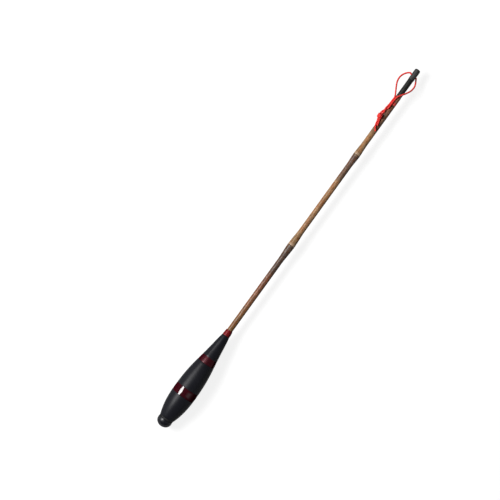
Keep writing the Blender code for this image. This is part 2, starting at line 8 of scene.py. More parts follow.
import bpy
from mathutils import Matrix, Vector


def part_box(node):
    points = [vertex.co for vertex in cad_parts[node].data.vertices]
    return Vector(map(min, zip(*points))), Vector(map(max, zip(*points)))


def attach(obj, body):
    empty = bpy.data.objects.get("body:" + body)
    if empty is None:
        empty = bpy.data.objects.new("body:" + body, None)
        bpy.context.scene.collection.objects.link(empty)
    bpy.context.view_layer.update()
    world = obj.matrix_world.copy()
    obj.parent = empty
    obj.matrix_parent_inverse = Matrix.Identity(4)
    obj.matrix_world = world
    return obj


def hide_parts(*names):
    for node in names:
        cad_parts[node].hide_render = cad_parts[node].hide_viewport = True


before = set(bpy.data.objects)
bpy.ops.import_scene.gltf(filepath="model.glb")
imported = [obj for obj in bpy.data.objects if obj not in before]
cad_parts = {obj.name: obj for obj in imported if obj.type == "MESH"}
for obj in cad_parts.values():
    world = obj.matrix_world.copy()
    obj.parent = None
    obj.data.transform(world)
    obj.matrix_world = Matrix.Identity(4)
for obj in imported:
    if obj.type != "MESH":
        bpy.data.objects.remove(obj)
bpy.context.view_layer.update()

# Where the rod lies: x of the grip's butt face, and the axis's height over the surface
BUTT_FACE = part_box("grip")[0].x
AXIS_HEIGHT = (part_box("grip")[0].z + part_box("grip")[1].z) / 2

# Camera straight over the rod
PICTURE_WIDTH = 0.3285
PICTURE_CENTRE = (-0.0164, 0.0202)
ROD_LEAN = math.radians(54.12)
LENS = 120.0
SENSOR = 36.0

# Studio: the lamp's place from the grip's belly, its size, turn and power
LAMP_HEIGHT = 0.88
LAMP_LEFT = 0.82
LAMP_BACK = 0.12
LAMP_WIDTH = 0.56
LAMP_TURN = math.radians(45)
LAMP_POWER = 22.0
# Dim strip of light over the rod's right, placed by the parts along and across the rod of a unit arrow
# towards it. Each edge goes from where there is no light to where it is full
STRIP_ALONG = -0.09
STRIP_HALF_WIDTH = 0.07
STRIP_SOFTNESS = 0.05
STRIP_UPPER_EDGE = (-0.25, -0.72)
STRIP_LOWER_EDGE = (-0.99, -0.80)
STRIP_LIGHT = (0.60, 0.60, 0.60)
# Light of the surroundings, from the horizon up to overhead
SKY = (
    (0.00, (0.30, 0.30, 0.30)),
    (0.10, (0.28, 0.28, 0.28)),
    (0.35, (0.06, 0.06, 0.062)),
    (1.00, (0.035, 0.035, 0.037)),
)
FLOOR_RADIUS = 4.0
FLOOR_STEPS = 64
FLOOR_GREY = (0.25, 0.25, 0.25, 1.0)
FLOOR_GLOW = (1.0, 1.0, 1.0, 1.0)
FLOOR_GLOW_STRENGTH = 0.86

# Keeper cord
CORD_DIAMETER = 0.0011
CORD_ROUNDNESS = 4
CORD_SMOOTHNESS = 4
BRAID_REPEATS = 720.0
BRAID_STRANDS = 4.0
EYE_PLACE = 0.2769
# Both loops: ahead of the cross hole, to the left, up
LEFT_LOOP = (
    (0.0000, 0.0002, 0.0000), (0.0000, 0.0011, 0.0000), (0.0002, 0.0020, 0.0000),
    (0.0006, 0.0028, -0.0002), (0.0003, 0.0037, -0.0006), (-0.0006, 0.0048, -0.0010),
    (-0.0019, 0.0058, -0.0013), (-0.0037, 0.0067, -0.0014), (-0.0061, 0.0071, -0.0014),
    (-0.0085, 0.0068, -0.0011), (-0.0105, 0.0061, -0.0005), (-0.0127, 0.0050, 0.0004),
    (-0.0148, 0.0039, 0.0012), (-0.0168, 0.0028, 0.0018),
)
RIGHT_LOOP = (
    (0.0000, -0.0002, 0.0000), (0.0000, -0.0011, 0.0000), (-0.0001, -0.0019, -0.0001),
    (-0.0005, -0.0024, -0.0006), (-0.0013, -0.0029, -0.0011), (-0.0025, -0.0036, -0.0014),
    (-0.0038, -0.0042, -0.0014), (-0.0053, -0.0046, -0.0011), (-0.0068, -0.0046, -0.0006),
    (-0.0084, -0.0044, 0.0000), (-0.0099, -0.0039, 0.0008), (-0.0117, -0.0030, 0.0016),
    (-0.0133, -0.0021, 0.0022), (-0.0146, -0.0012, 0.0027), (-0.0157, -0.0005, 0.0030),
    (-0.0168, 0.0002, 0.0030), (-0.0179, 0.0008, 0.0029),
)
# The rest of the route: ahead of the cross hole, standoff from the rod's axis, degrees over to the left
RUN_ROUTE = (
    (-0.0190, 0.00270, 34.0), (-0.0215, 0.00267, 38.0), (-0.0240, 0.00285, 37.0),
    (-0.0265, 0.00320, 36.0), (-0.0287, 0.00320, 48.0), (-0.0303, 0.00318, 56.0),
    (-0.0319, 0.00345, 60.0),
)
RUN_POINTS = 26
STRAND_SPACING = 0.00118
# The strands lie side by side over the first share of the run, then wind part of a turn round each other
RUN_STRAIGHT_SHARE = 0.35
RUN_TURN = math.radians(240)
KNOT_ROUTE = (-0.0344, 0.00388, 46.5)
KNOT_WRAP_RADIUS = 0.00131
KNOT_WRAP_TURNS = 3.0
KNOT_WRAP_PITCH = 0.00095
KNOT_WRAP_SLANT = 0.00025
KNOT_WRAP_POINTS = 30
KNOT_WRAP_TUCK = 0.45
KNOT_TUCK_SHARE = 0.12
LEFT_TAIL = (
    (-0.0361, 0.00335, 60.0), (-0.0372, 0.00290, 57.0), (-0.0384, 0.00272, 51.0),
    (-0.0397, 0.00268, 44.0), (-0.0409, 0.00268, 35.0), (-0.0420, 0.00268, 20.0),
    (-0.0430, 0.00270, 4.0), (-0.0437, 0.00272, -8.0), (-0.0442, 0.00268, -17.0),
)
RIGHT_TAIL = (
    (-0.0361, 0.00325, 35.0), (-0.0372, 0.00285, 28.0), (-0.0384, 0.00270, 22.0),
    (-0.0397, 0.00266, 14.0), (-0.0406, 0.00264, 6.0),
)
TAIL_TAPER = 0.82

# Grip
GRIP_LENGTH = 0.0665
GRIP_BUTT_RADIUS = 0.0051
BELLY_RADIUS = AXIS_HEIGHT
BELLY_PLACE = 0.0208
GRIP_FRONT_RADIUS = 0.0026
BUTT_FULLNESS = 2.4
NECK_HOLLOW = 0.36
GRIP_STEP = 0.0012
GRIP_EDGE = 0.0000625

# Windings let into the grip: place and length
WINDINGS = {"winding_rear": (0.0179, 0.0059), "winding_middle": (0.0439, 0.0048)}
WINDING_DEPTH = 0.0006
WINDING_CROWN = 0.00010
WINDING_GAP = 0.00003
WINDING_STEP = 0.0004
FRONT_WINDING_END_RADIUS = 0.00225
FRONT_WINDING_CROWN = 0.00010
FRONT_WINDING_FULLNESS = 0.7
FRONT_WINDING_STEP = 0.0003
THREAD_WIDTH = 0.00022
THREAD_GLEAM = (1.0, 0.30, 0.36, 1.0)
THREAD_DEPTH = 0.00004
LACQUER_IOR = 1.6
# Winding finishes: the thread, the gap beside it, the coat, the coat's roughness and the thread's sheen
THREAD_FINISHES = {
    "polished wine red winding": ((0.056, 0.003, 0.008), (0.018, 0.002, 0.004), 0.9, 0.03, 0.05),
    "satin wine red winding": ((0.056, 0.003, 0.008), (0.018, 0.002, 0.004), 0.22, 0.32, 0.50),
    "bright red winding": ((0.235, 0.008, 0.010), (0.080, 0.003, 0.004), 0.10, 0.30, 0.50),
}

# Outer tube
TUBE_RADIUS = 0.00195
TUBE_BORE = 0.0016
TUBE_MOUTH = 0.00146
TUBE_ROOT = 0.0107
TUBE_START = 0.0707
TUBE_END = 0.2603
MOUTH_LENGTH = 0.0120
COLLAR_TAPER = 0.0015
# Node place, swell and spread
NODES = ((0.1394, 0.00056, 0.0130), (0.2129, 0.00038, 0.0092))
# The ridge and scar at a node: distance past it, and lift
NODE_OUTLINE = (
    (-0.00090, 0.00000), (-0.00055, 0.00005), (-0.00025, 0.00010), (-0.00005, 0.00010),
    (0.00010, -0.00002), (0.00028, -0.00006), (0.00048, 0.00001), (0.00080, 0.00005),
    (0.00120, 0.00004), (0.00170, 0.00000),
)
TUBE_STEP = 0.0010
TUBE_EDGE = 0.00012

# Bamboo pattern: where it starts and how long it is, how far its tones wander, and the blotches' range
PATTERN_START = 0.0700
PATTERN_LENGTH = 0.1920
PATTERN_WANDER = 0.006
BLOTCH_VALUES = (0.78, 1.22)
# Ground tones by place along the rod. The dark stops from 0.2350 to 0.2500 are painted shade under the cord's
# knot, tails and run, laid over the pattern's own darkening towards the mouth
PATTERN_TONES_AND_CORD_SHADE = (
    (0.0710, (0.258, 0.134, 0.046)),
    (0.0950, (0.304, 0.136, 0.066)),
    (0.1100, (0.258, 0.110, 0.066)),
    (0.1190, (0.146, 0.084, 0.060)),
    (0.1330, (0.124, 0.088, 0.072)),
    (0.1386, (0.134, 0.094, 0.073)),
    (0.1400, (0.430, 0.280, 0.160)),
    (0.1430, (0.400, 0.250, 0.128)),
    (0.1520, (0.485, 0.284, 0.148)),
    (0.1900, (0.470, 0.274, 0.141)),
    (0.1965, (0.220, 0.136, 0.094)),
    (0.2118, (0.175, 0.103, 0.080)),
    (0.2136, (0.445, 0.282, 0.150)),
    (0.2290, (0.490, 0.292, 0.144)),
    # Painted shade under the cord's tails and knot, over the pattern's own darkening towards the mouth
    (0.2350, (0.240, 0.136, 0.078)),
    (0.2440, (0.270, 0.155, 0.100)),
    (0.2500, (0.370, 0.180, 0.115)),
    (0.2600, (0.500, 0.250, 0.160)),
)
# Painted bands: distance past their place, half width, soft edge and strength
NODE_RING = (0.00105, 0.00055, 0.00045, 0.7)
NODE_LINE = (-0.00012, 0.00014, 0.00018, 0.65)
MOUTH_LINE = (-0.0019, 0.0004, 0.0005, 0.6)
MOUTH_RING = (0.0, 0.0008, 0.0005, 0.90)
MOUTH_RING_PLACE = 0.2544

# Inner sections: end, radius, the bore they run in, own bore and mouth
SECTIONS_BUTT = 0.0082
COLLAR_LENGTH = 0.0120
SECTIONS = {
    "second_section": (0.2520, 0.00138, 0.00160, 0.00108, 0.00094),
    "third_section": (0.2510, 0.00086, 0.00108, 0.00060, 0.00046),
}
RUNNING_GAP = 0.00008
SECTION_EDGE = 0.00008
TAPE_TURNS = 420.0
TIP_RADIUS = 0.00038
TIP_END = 0.2300
TIP_END_RADIUS = 0.00025
TIP_EDGE = 0.00005
SLEEVE_LENGTH = 0.0080
SLEEVE_BORE = 0.00030
SLEEVE_RADIUS = 0.00040
SLEEVE_EDGE = 0.00004
LILIAN_ROOT = 0.2303
LILIAN_LENGTH = 0.0150
LILIAN_STEP = 0.001
LILIAN_KNOT_LENGTH = 0.0012
LILIAN_KNOT_RADIUS = 0.00040
# The knot's outline: share of its length, and share of its swell
LILIAN_KNOT_OUTLINE = ((0.2, 0.7), (0.4, 0.95), (0.55, 1.0), (0.7, 0.9), (0.88, 0.55), (1.0, 0.1))

# Butt plug, gasket, bush and pad
KNOB_END = -0.0065
KNOB_BASE = -0.0010
KNOB_RADIUS = 0.0051
DOME_HEIGHT = 0.0043
KNOB_FLAT_RADIUS = 0.0011
DOME_STEPS = 20
KNOB_CHAMFER = 0.00025
KNOB_EDGE = 0.00012
THREAD_ROOT_RADIUS = 0.00213
THREAD_CREST_RADIUS = 0.00245
THREAD_PITCH = 0.0008
SHANK_NECK = 0.0010
SHANK_END = 0.0064
THREAD_STEPS = 48
# The thread's ridge: start of its crest, end of its crest and end, in quarters of the pitch, and how far
# its foot is sunk, as a share of its height
RIDGE_OUTLINE = (1.4, 1.9, 3.3)
RIDGE_SUNK = 0.4
RIDGE_END_SIDES = 6
GASKET = (-0.00094, -0.00006)
GASKET_RADIUS = 0.0050
GASKET_EDGE = 0.00012
BUSH_LENGTH = 0.0080
BUSH_BORE = 0.0026
BUSH_RADIUS = 0.0037
BUSH_SEAT = 0.0083
BUSH_SEAT_RADIUS = 0.0038
BUSH_GROOVE = 0.00025
# The cutter for the bush's thread starts this far inside the bore
BUSH_CUT_START = 0.0001
BUSH_EDGE = 0.00015
PAD = (0.0067, 0.0082)
PAD_RADIUS = 0.00225
PAD_EDGE = 0.0002
# Dish in the pad's face: its depth, and its mouth and floor as shares of the radius
PAD_DISH_DEPTH = 0.0002
PAD_DISH_MOUTH = 0.6
PAD_DISH_FLOOR = 0.5

# Front plug
STEM_RADIUS = 0.00185
STEM_END = 0.2738
SPIGOT_LENGTH = 0.0080
SPIGOT_RADIUS = 0.00138
NIPPLE_RADIUS = 0.0010
NIPPLE_LENGTH = 0.0017
STEM_EDGE = 0.00015
HEAD_RADIUS = 0.00198
HEAD_END = 0.2821
HEAD_FLAT_RADIUS = 0.0010
HEAD_ROUNDING = 0.0011
HEAD_STEPS = 10
HEAD_RING_PLACES = (0.0008, 0.0013)
HEAD_RING_DEPTH = 0.00005
HEAD_RING_WIDTH = 0.00012
HEAD_EDGE = 0.00010
EYE_RADIUS = 0.0007
EYE_FLARE = 0.00035

# Skins: dark and pale tone, range of roughness, depth of the skin and gloss
SKINS = {
    "black rubber": ((0.010, 0.010, 0.010), (0.026, 0.026, 0.026), (0.62, 0.80), 0.00002, 0.35),
    "black knob": ((0.0060, 0.0066, 0.0096), (0.014, 0.015, 0.020), (0.26, 0.36), 0.000005, 0.35),
    "red lilian": ((0.45, 0.014, 0.014), (0.75, 0.040, 0.032), (0.62, 0.80), 0.00003, 0.35),
    "black plug": ((0.018, 0.019, 0.018), (0.034, 0.035, 0.033), (0.40, 0.52), 0.000008, 0.15),
    "grey black head": ((0.026, 0.026, 0.027), (0.075, 0.075, 0.076), (0.52, 0.70), 0.00003, 0.35),
}

# Fits, and fineness of the meshes
SEAT_GAP = 0.0003
GLUE_GAP = 0.0001
ROUND_STEPS = 96
SECTION_ROUND_STEPS = 64
THIN_ROUND_STEPS = 32
POINT_SIZE = 0.0001
MERGE_DISTANCE = 0.000001
STEP_SLACK = 1e-9
SMOOTH_ANGLE = math.radians(32)


# Camera


def make_camera():
    """A long lens straight over the rod, turned so that the rod leans up to the right."""
    distance = PICTURE_WIDTH * LENS / SENSOR
    bpy.ops.object.camera_add(
        location=(*PICTURE_CENTRE, AXIS_HEIGHT + distance),
        rotation=(0.0, 0.0, -ROD_LEAN),
    )
    camera = bpy.context.object
    camera.name = "rod_camera"
    camera.data.lens = LENS
    camera.data.sensor_width = SENSOR
    bpy.context.scene.camera = camera


# Nodes of the finishes


def put(tree, kind, inputs=None, **settings):
    """Add a node: an input given as a socket is linked, and any other value is set."""
    node = tree.nodes.new(kind)
    for name, value in settings.items():
        setattr(node, name, value)
    for name, value in (inputs or {}).items():
        if isinstance(value, bpy.types.NodeSocket):
            tree.links.new(value, node.inputs[name])
        else:
            node.inputs[name].default_value = value
    return node


def surface(name, **values):
    """A new finish: its node tree and its shader, with the values that are the same all over."""
    material = bpy.data.materials.new(name)
    material.use_nodes = True
    shader = material.node_tree.nodes["Principled BSDF"]
    for key, value in values.items():
        shader.inputs[key.replace("_", " ").title().replace("Ior", "IOR")].default_value = value
    return material, material.node_tree, shader


def on_piece(tree, stretch=(1.0, 1.0, 1.0)):
    """Place on the piece, with a pattern's fineness along X, Y and Z in repeats a metre."""
    coordinates = put(tree, "ShaderNodeTexCoord")
    mapping = put(tree, "ShaderNodeMapping", {"Vector": coordinates.outputs["Object"]})
    mapping.inputs["Location"].default_value = (0.0, 0.0, -AXIS_HEIGHT * stretch[2])
    mapping.inputs["Scale"].default_value = stretch
    return mapping.outputs["Vector"]


def along_rod(tree):
    """Place along the rod, measured from the grip's butt face."""
    coordinates = put(tree, "ShaderNodeTexCoord")
    parts = put(tree, "ShaderNodeSeparateXYZ", {"Vector": coordinates.outputs["Object"]})
    return calculate(tree, "SUBTRACT", parts.outputs["X"], BUTT_FACE)


def calculate(tree, operation, first, second=0.0):
    """One sum on two numbers."""
    node = put(tree, "ShaderNodeMath", operation=operation)
    for slot, value in ((0, first), (1, second)):
        if isinstance(value, bpy.types.NodeSocket):
            tree.links.new(value, node.inputs[slot])
        else:
            node.inputs[slot].default_value = value
    return node.outputs["Value"]


def noise(tree, vector, scale=1.0, detail=3.0, roughness=0.5):
    """Soft random patches."""
    inputs = {"Vector": vector, "Scale": scale, "Detail": detail, "Roughness": roughness}
    return put(tree, "ShaderNodeTexNoise", inputs).outputs["Fac"]


def spread(tree, value, low, high, to_low=0.0, to_high=1.0):
    """Spread a number from one range over another, held at its ends."""
    inputs = {"Value": value, "From Min": low, "From Max": high, "To Min": to_low, "To Max": to_high}
    return put(tree, "ShaderNodeMapRange", inputs).outputs["Result"]


def mix(tree, factor, first, second, blend="MIX"):
    """Mix two colours."""
    node = put(tree, "ShaderNodeMix", data_type="RGBA", blend_type=blend)
    for slot, value in ((0, factor), (6, first), (7, second)):
        if isinstance(value, bpy.types.NodeSocket):
            tree.links.new(value, node.inputs[slot])
        else:
            node.inputs[slot].default_value = value if slot == 0 else (*value, 1.0)
    return node.outputs[2]


def tint(tree, ground, pattern, low, high, strength, colour, blend="MIX"):
    """Lay a colour on the ground where a pattern goes from low to high, at most as strongly as given."""
    return mix(tree, spread(tree, pattern, low, high, 0.0, strength), ground, colour, blend)


def shades(tree, factor, stops):
    """Colours along a ramp, as (position, colour) stops."""
    node = put(tree, "ShaderNodeValToRGB", {"Fac": factor})
    ramp = node.color_ramp
    while len(ramp.elements) < len(stops):
        ramp.elements.new(1.0)
    for element, (position, colour) in zip(ramp.elements, stops):
        element.position = position
        element.color = (*colour, 1.0)
    return node.outputs["Color"]


def relief(tree, shader, height, depth, strength=1.0):
    """Bumps of a given depth."""
    inputs = {"Height": height, "Distance": depth, "Strength": strength}
    tree.links.new(put(tree, "ShaderNodeBump", inputs).outputs["Normal"], shader.inputs["Normal"])


def fade(tree, shader, socket, facing_value, rim_value, near=0.12, rim=0.50):
    """Let a gloss value fall off from the faces turned to the eye towards the outline."""
    facing = put(tree, "ShaderNodeLayerWeight").outputs["Facing"]
    shader.inputs[socket].default_value = facing_value
    tree.links.new(spread(tree, facing, near, rim, facing_value, rim_value), shader.inputs[socket])


def band(tree, place, centre, half, soft):
    """1 within half a width of the centre, fading to 0 over the soft width."""
    distance = calculate(tree, "ABSOLUTE", calculate(tree, "SUBTRACT", place, centre))
    return spread(tree, distance, half, half + soft, 1.0, 0.0)


def painted_band(tree, ground, place, at, mark, colour):
    """Paint a band round the rod at a place, as its mark says."""
    past, half, soft, strength = mark
    ring = band(tree, place, at + past, half, soft)
    return mix(tree, calculate(tree, "MULTIPLY", ring, strength), ground, colour)


# Finishes


def black_lacquer():
    """Satin black lacquer on turned wood: faint turning rings, soft unevenness and a little handling wear."""
    material, tree, shader = surface("satin black lacquer")
    rings = noise(tree, on_piece(tree, (2600.0, 60.0, 60.0)), detail=2.0)
    clouds = noise(tree, on_piece(tree, (70.0, 160.0, 160.0)), detail=4.0)
    grain = noise(tree, on_piece(tree, (220.0, 2600.0, 2600.0)), detail=3.0, roughness=0.6)
    specks = noise(tree, on_piece(tree, (1900.0, 1900.0, 1900.0)), detail=1.0)
    ground = mix(tree, clouds, (0.0082, 0.0085, 0.0118), (0.0144, 0.0149, 0.0198))
    ground = tint(tree, ground, grain, 0.58, 0.75, 0.5, (0.019, 0.018, 0.019))
    ground = tint(tree, ground, specks, 0.72, 0.78, 0.35, (0.05, 0.05, 0.052))
    tree.links.new(ground, shader.inputs["Base Color"])
    fade(tree, shader, "Specular IOR Level", 0.20, 0.03, rim=0.40)
    tree.links.new(spread(tree, clouds, 0.3, 0.7, 0.34, 0.46), shader.inputs["Roughness"])
    turning = calculate(tree, "MULTIPLY", rings, 0.5)
    height = calculate(tree, "ADD", turning, calculate(tree, "MULTIPLY", grain, 0.5))
    relief(tree, shader, height, depth=0.00001)
    return material


def lacquered_thread(name):
    """Red thread wound side by side under clear lacquer: the threads gleam red through a smooth coat."""
    thread, gap, coat, gloss, sheen = THREAD_FINISHES[name]
    material, tree, shader = surface(
        name, coat_roughness=gloss, coat_ior=LACQUER_IOR, specular_tint=THREAD_GLEAM
    )
    fade(tree, shader, "Coat Weight", coat, 0.0, near=0.05, rim=0.28)
    fade(tree, shader, "Specular IOR Level", sheen, 0.0, near=0.05, rim=0.34)
    turns = calculate(tree, "MULTIPLY", along_rod(tree), 1.0 / THREAD_WIDTH)
    lay = noise(tree, on_piece(tree, (300.0, 120.0, 120.0)), detail=2.0)
    turns = calculate(tree, "ADD", turns, calculate(tree, "MULTIPLY", lay, 0.5))
    hump = calculate(tree, "ABSOLUTE", calculate(tree, "SINE", calculate(tree, "MULTIPLY", turns, math.pi)))
    fibres = noise(tree, on_piece(tree, (9000.0, 900.0, 900.0)), detail=2.0)
    pool = noise(tree, on_piece(tree, (180.0, 300.0, 300.0)), detail=3.0)
    ground = mix(tree, spread(tree, hump, 0.1, 0.8), gap, thread)
    ground = tint(tree, ground, fibres, 0.35, 0.7, 0.35, [0.55 * part for part in thread])
    ground = tint(tree, ground, pool, 0.45, 0.75, 0.45, gap)
    tree.links.new(ground, shader.inputs["Base Color"])
    tree.links.new(spread(tree, fibres, 0.3, 0.7, 0.32, 0.5), shader.inputs["Roughness"])
    relief(tree, shader, hump, depth=THREAD_DEPTH, strength=0.7)
    return material


def painted_bamboo():
    """Bamboo pattern: mottled tan, a dark line and a pale ring at each node, a red ring by the mouth, and
    painted shade under the cord.
    """
    material, tree, shader = surface("painted bamboo")
    fade(tree, shader, "Specular IOR Level", 0.28, 0.04)
    place = along_rod(tree)
    drift = noise(tree, on_piece(tree, (150.0, 500.0, 500.0)), detail=3.0)
    drift = calculate(tree, "MULTIPLY", calculate(tree, "SUBTRACT", drift, 0.5), PATTERN_WANDER)
    wandering = calculate(tree, "ADD", place, drift)
    share = spread(tree, wandering, PATTERN_START, PATTERN_START + PATTERN_LENGTH)
    # The ramp's stops include painted shade where the cord lies over the tube
    stops = [((at - PATTERN_START) / PATTERN_LENGTH, tone) for at, tone in PATTERN_TONES_AND_CORD_SHADE]
    ground = shades(tree, share, stops)
    mottle = noise(tree, on_piece(tree, (420.0, 1700.0, 1700.0)), detail=4.0, roughness=0.62)
    fibres = noise(tree, on_piece(tree, (120.0, 5200.0, 5200.0)), detail=3.0, roughness=0.6)
    clouds = noise(tree, on_piece(tree, (90.0, 260.0, 260.0)), detail=2.0)
    hues = noise(tree, on_piece(tree, (230.0, 800.0, 800.0)), detail=3.0)
    ground = tint(tree, ground, mottle, 0.36, 0.66, 1.0, (0.66, 0.54, 0.40), "MULTIPLY")
    ground = tint(tree, ground, hues, 0.50, 0.62, 0.9, (1.0, 0.72, 0.50), "MULTIPLY")
    ground = tint(tree, ground, hues, 0.48, 0.37, 0.9, (0.78, 0.90, 1.0), "MULTIPLY")
    ground = tint(tree, ground, mottle, 0.60, 0.72, 0.55, (0.050, 0.026, 0.014))
    ground = tint(tree, ground, fibres, 0.55, 0.72, 0.45, (0.085, 0.046, 0.024))
    ground = tint(tree, ground, mottle, 0.42, 0.30, 0.40, (0.520, 0.360, 0.220))
    ground = tint(tree, ground, clouds, 0.5, 0.75, 0.35, (0.200, 0.090, 0.045))
    blotch = noise(tree, on_piece(tree, (640.0, 820.0, 820.0)), detail=2.0)
    blotch = spread(tree, blotch, 0.3, 0.7, *BLOTCH_VALUES)
    ground = put(tree, "ShaderNodeHueSaturation", {"Value": blotch, "Color": ground}).outputs["Color"]
    for node, _, _ in NODES:
        ground = painted_band(tree, ground, place, node, NODE_RING, (0.500, 0.345, 0.225))
        ground = painted_band(tree, ground, place, node, NODE_LINE, (0.030, 0.018, 0.013))
    ground = painted_band(tree, ground, place, MOUTH_RING_PLACE, MOUTH_LINE, (0.030, 0.018, 0.012))
    ground = painted_band(tree, ground, place, MOUTH_RING_PLACE, MOUTH_RING, (0.900, 0.110, 0.095))
    tree.links.new(ground, shader.inputs["Base Color"])
    tree.links.new(spread(tree, mottle, 0.3, 0.7, 0.30, 0.42), shader.inputs["Roughness"])
    grain = calculate(tree, "MULTIPLY", mottle, 0.4)
    height = calculate(tree, "ADD", grain, calculate(tree, "MULTIPLY", fibres, 0.6))
    relief(tree, shader, height, depth=0.000025)
    return material


def fine_skin(name):
    """Plastic, rubber or stiff braid with a fine skin, in two tones that rub into each other."""
    dark, pale, roughness, depth, gloss = SKINS[name]
    material, tree, shader = surface(name)
    fade(tree, shader, "Specular IOR Level", gloss, 0.05)
    skin = noise(tree, on_piece(tree, (5200.0, 5200.0, 5200.0)), detail=2.0)
    rub = noise(tree, on_piece(tree, (420.0, 520.0, 520.0)), detail=4.0, roughness=0.6)
    ground = mix(tree, spread(tree, rub, 0.35, 0.75), dark, pale)
    tree.links.new(ground, shader.inputs["Base Color"])
    tree.links.new(spread(tree, rub, 0.3, 0.7, *roughness), shader.inputs["Roughness"])
    relief(tree, shader, skin, depth)
    return material


def black_blank():
    """Black glass-fibre tube: a glossy skin over the faint spiral of its wrapping tape."""
    material, tree, shader = surface("black blank", coat_weight=0.5, coat_roughness=0.12)
    parts = put(tree, "ShaderNodeSeparateXYZ", {"Vector": on_piece(tree)})
    angle = calculate(tree, "ARCTAN2", parts.outputs["Y"], parts.outputs["Z"])
    turns = calculate(tree, "MULTIPLY", along_rod(tree), TAPE_TURNS)
    turns = calculate(tree, "ADD", turns, calculate(tree, "MULTIPLY", angle, 1.0 / math.tau))
    tape = calculate(tree, "FRACT", turns)
    fibres = noise(tree, on_piece(tree, (160.0, 4200.0, 4200.0)), detail=3.0)
    ground = mix(tree, spread(tree, fibres, 0.4, 0.7), (0.016, 0.014, 0.013), (0.040, 0.034, 0.030))
    ground = tint(tree, ground, tape, 0.88, 1.0, 0.5, (0.007, 0.006, 0.006))
    tree.links.new(ground, shader.inputs["Base Color"])
    tree.links.new(spread(tree, fibres, 0.3, 0.7, 0.26, 0.40), shader.inputs["Roughness"])
    relief(tree, shader, tape, depth=0.00001)
    return material


def solid_tip():
    """Solid glass-fibre tip: pale, slightly translucent, with long fibres."""
    material, tree, shader = surface("solid tip", subsurface_weight=0.2, subsurface_scale=0.0005)
    shader.inputs["Subsurface Radius"].default_value = (1.0, 0.7, 0.4)
    fibres = noise(tree, on_piece(tree, (90.0, 6000.0, 6000.0)), detail=3.0)
    ground = mix(tree, spread(tree, fibres, 0.35, 0.7), (0.66, 0.61, 0.48), (0.50, 0.44, 0.33))
    tree.links.new(ground, shader.inputs["Base Color"])
    tree.links.new(spread(tree, fibres, 0.3, 0.7, 0.28, 0.42), shader.inputs["Roughness"])
    relief(tree, shader, fibres, depth=0.00001)
    return material


def turned_brass():
    """Brass with turning marks and a little tarnish."""
    material, tree, shader = surface("turned brass", metallic=1.0)
    marks = noise(tree, on_piece(tree, (14000.0, 300.0, 300.0)), detail=2.0)
    tarnish = noise(tree, on_piece(tree, (500.0, 500.0, 500.0)), detail=4.0)
    ground = mix(tree, spread(tree, tarnish, 0.4, 0.75), (0.72, 0.50, 0.20), (0.36, 0.23, 0.10))
    tree.links.new(ground, shader.inputs["Base Color"])
    tree.links.new(spread(tree, tarnish, 0.3, 0.7, 0.22, 0.42), shader.inputs["Roughness"])
    relief(tree, shader, marks, depth=0.00001)
    return material


def braid(name, repeats):
    """Braided cord: two families of strands that cross, read from the cord's own UV map."""
    bright, deep, pale = (1.00, 0.075, 0.062), (0.90, 0.042, 0.039), (1.00, 0.150, 0.125)
    material, tree, shader = surface(
        name, specular_ior_level=0.15, subsurface_weight=0.3, subsurface_scale=0.0006
    )
    shader.inputs["Subsurface Radius"].default_value = (1.0, 0.3, 0.2)
    coordinates = put(tree, "ShaderNodeTexCoord")
    parts = put(tree, "ShaderNodeSeparateXYZ", {"Vector": coordinates.outputs["UV"]})
    across = calculate(tree, "MULTIPLY", parts.outputs["X"], BRAID_STRANDS)
    length = calculate(tree, "MULTIPLY", parts.outputs["Y"], repeats)
    families = []
    for crossing in ("ADD", "SUBTRACT"):
        turns = calculate(tree, crossing, across, length)
        families.append(calculate(tree, "SINE", calculate(tree, "MULTIPLY", turns, math.tau)))
    strands = calculate(tree, "MAXIMUM", *families)
    fuzz = noise(tree, on_piece(tree, (6000.0, 6000.0, 6000.0)), detail=2.0)
    age = noise(tree, on_piece(tree, (260.0, 260.0, 260.0)), detail=3.0)
    ground = mix(tree, spread(tree, strands, -0.2, 0.9), deep, bright)
    ground = tint(tree, ground, fuzz, 0.5, 0.75, 0.35, pale)
    ground = tint(tree, ground, age, 0.4, 0.7, 0.3, deep)
    tree.links.new(ground, shader.inputs["Base Color"])
    tree.links.new(spread(tree, fuzz, 0.3, 0.7, 0.62, 0.85), shader.inputs["Roughness"])
    height = calculate(tree, "ADD", strands, calculate(tree, "MULTIPLY", fuzz, 0.4))
    relief(tree, shader, height, depth=0.00003, strength=0.4)
    return material


# Modelling helpers


def grip_radius(place):
    """The spindle's radius: a full butt, a round belly, and a neck that hollows towards the tube."""
    if place <= BELLY_PLACE:
        share = 1 - place / BELLY_PLACE
        return BELLY_RADIUS - (BELLY_RADIUS - GRIP_BUTT_RADIUS) * share ** BUTT_FULLNESS
    share = (place - BELLY_PLACE) / (GRIP_LENGTH - BELLY_PLACE)
    hollow = 1 + NECK_HOLLOW * (4 * share * (1 - share)) ** 2
    return BELLY_RADIUS - (BELLY_RADIUS - GRIP_FRONT_RADIUS) * share ** 2 * hollow


def steps_between(start, end, step):
    """Evenly spaced places from start to end, both included, no further apart than step."""
    count = max(1, math.ceil((end - start) / step - STEP_SLACK))
    return [start + (end - start) * index / count for index in range(count + 1)]


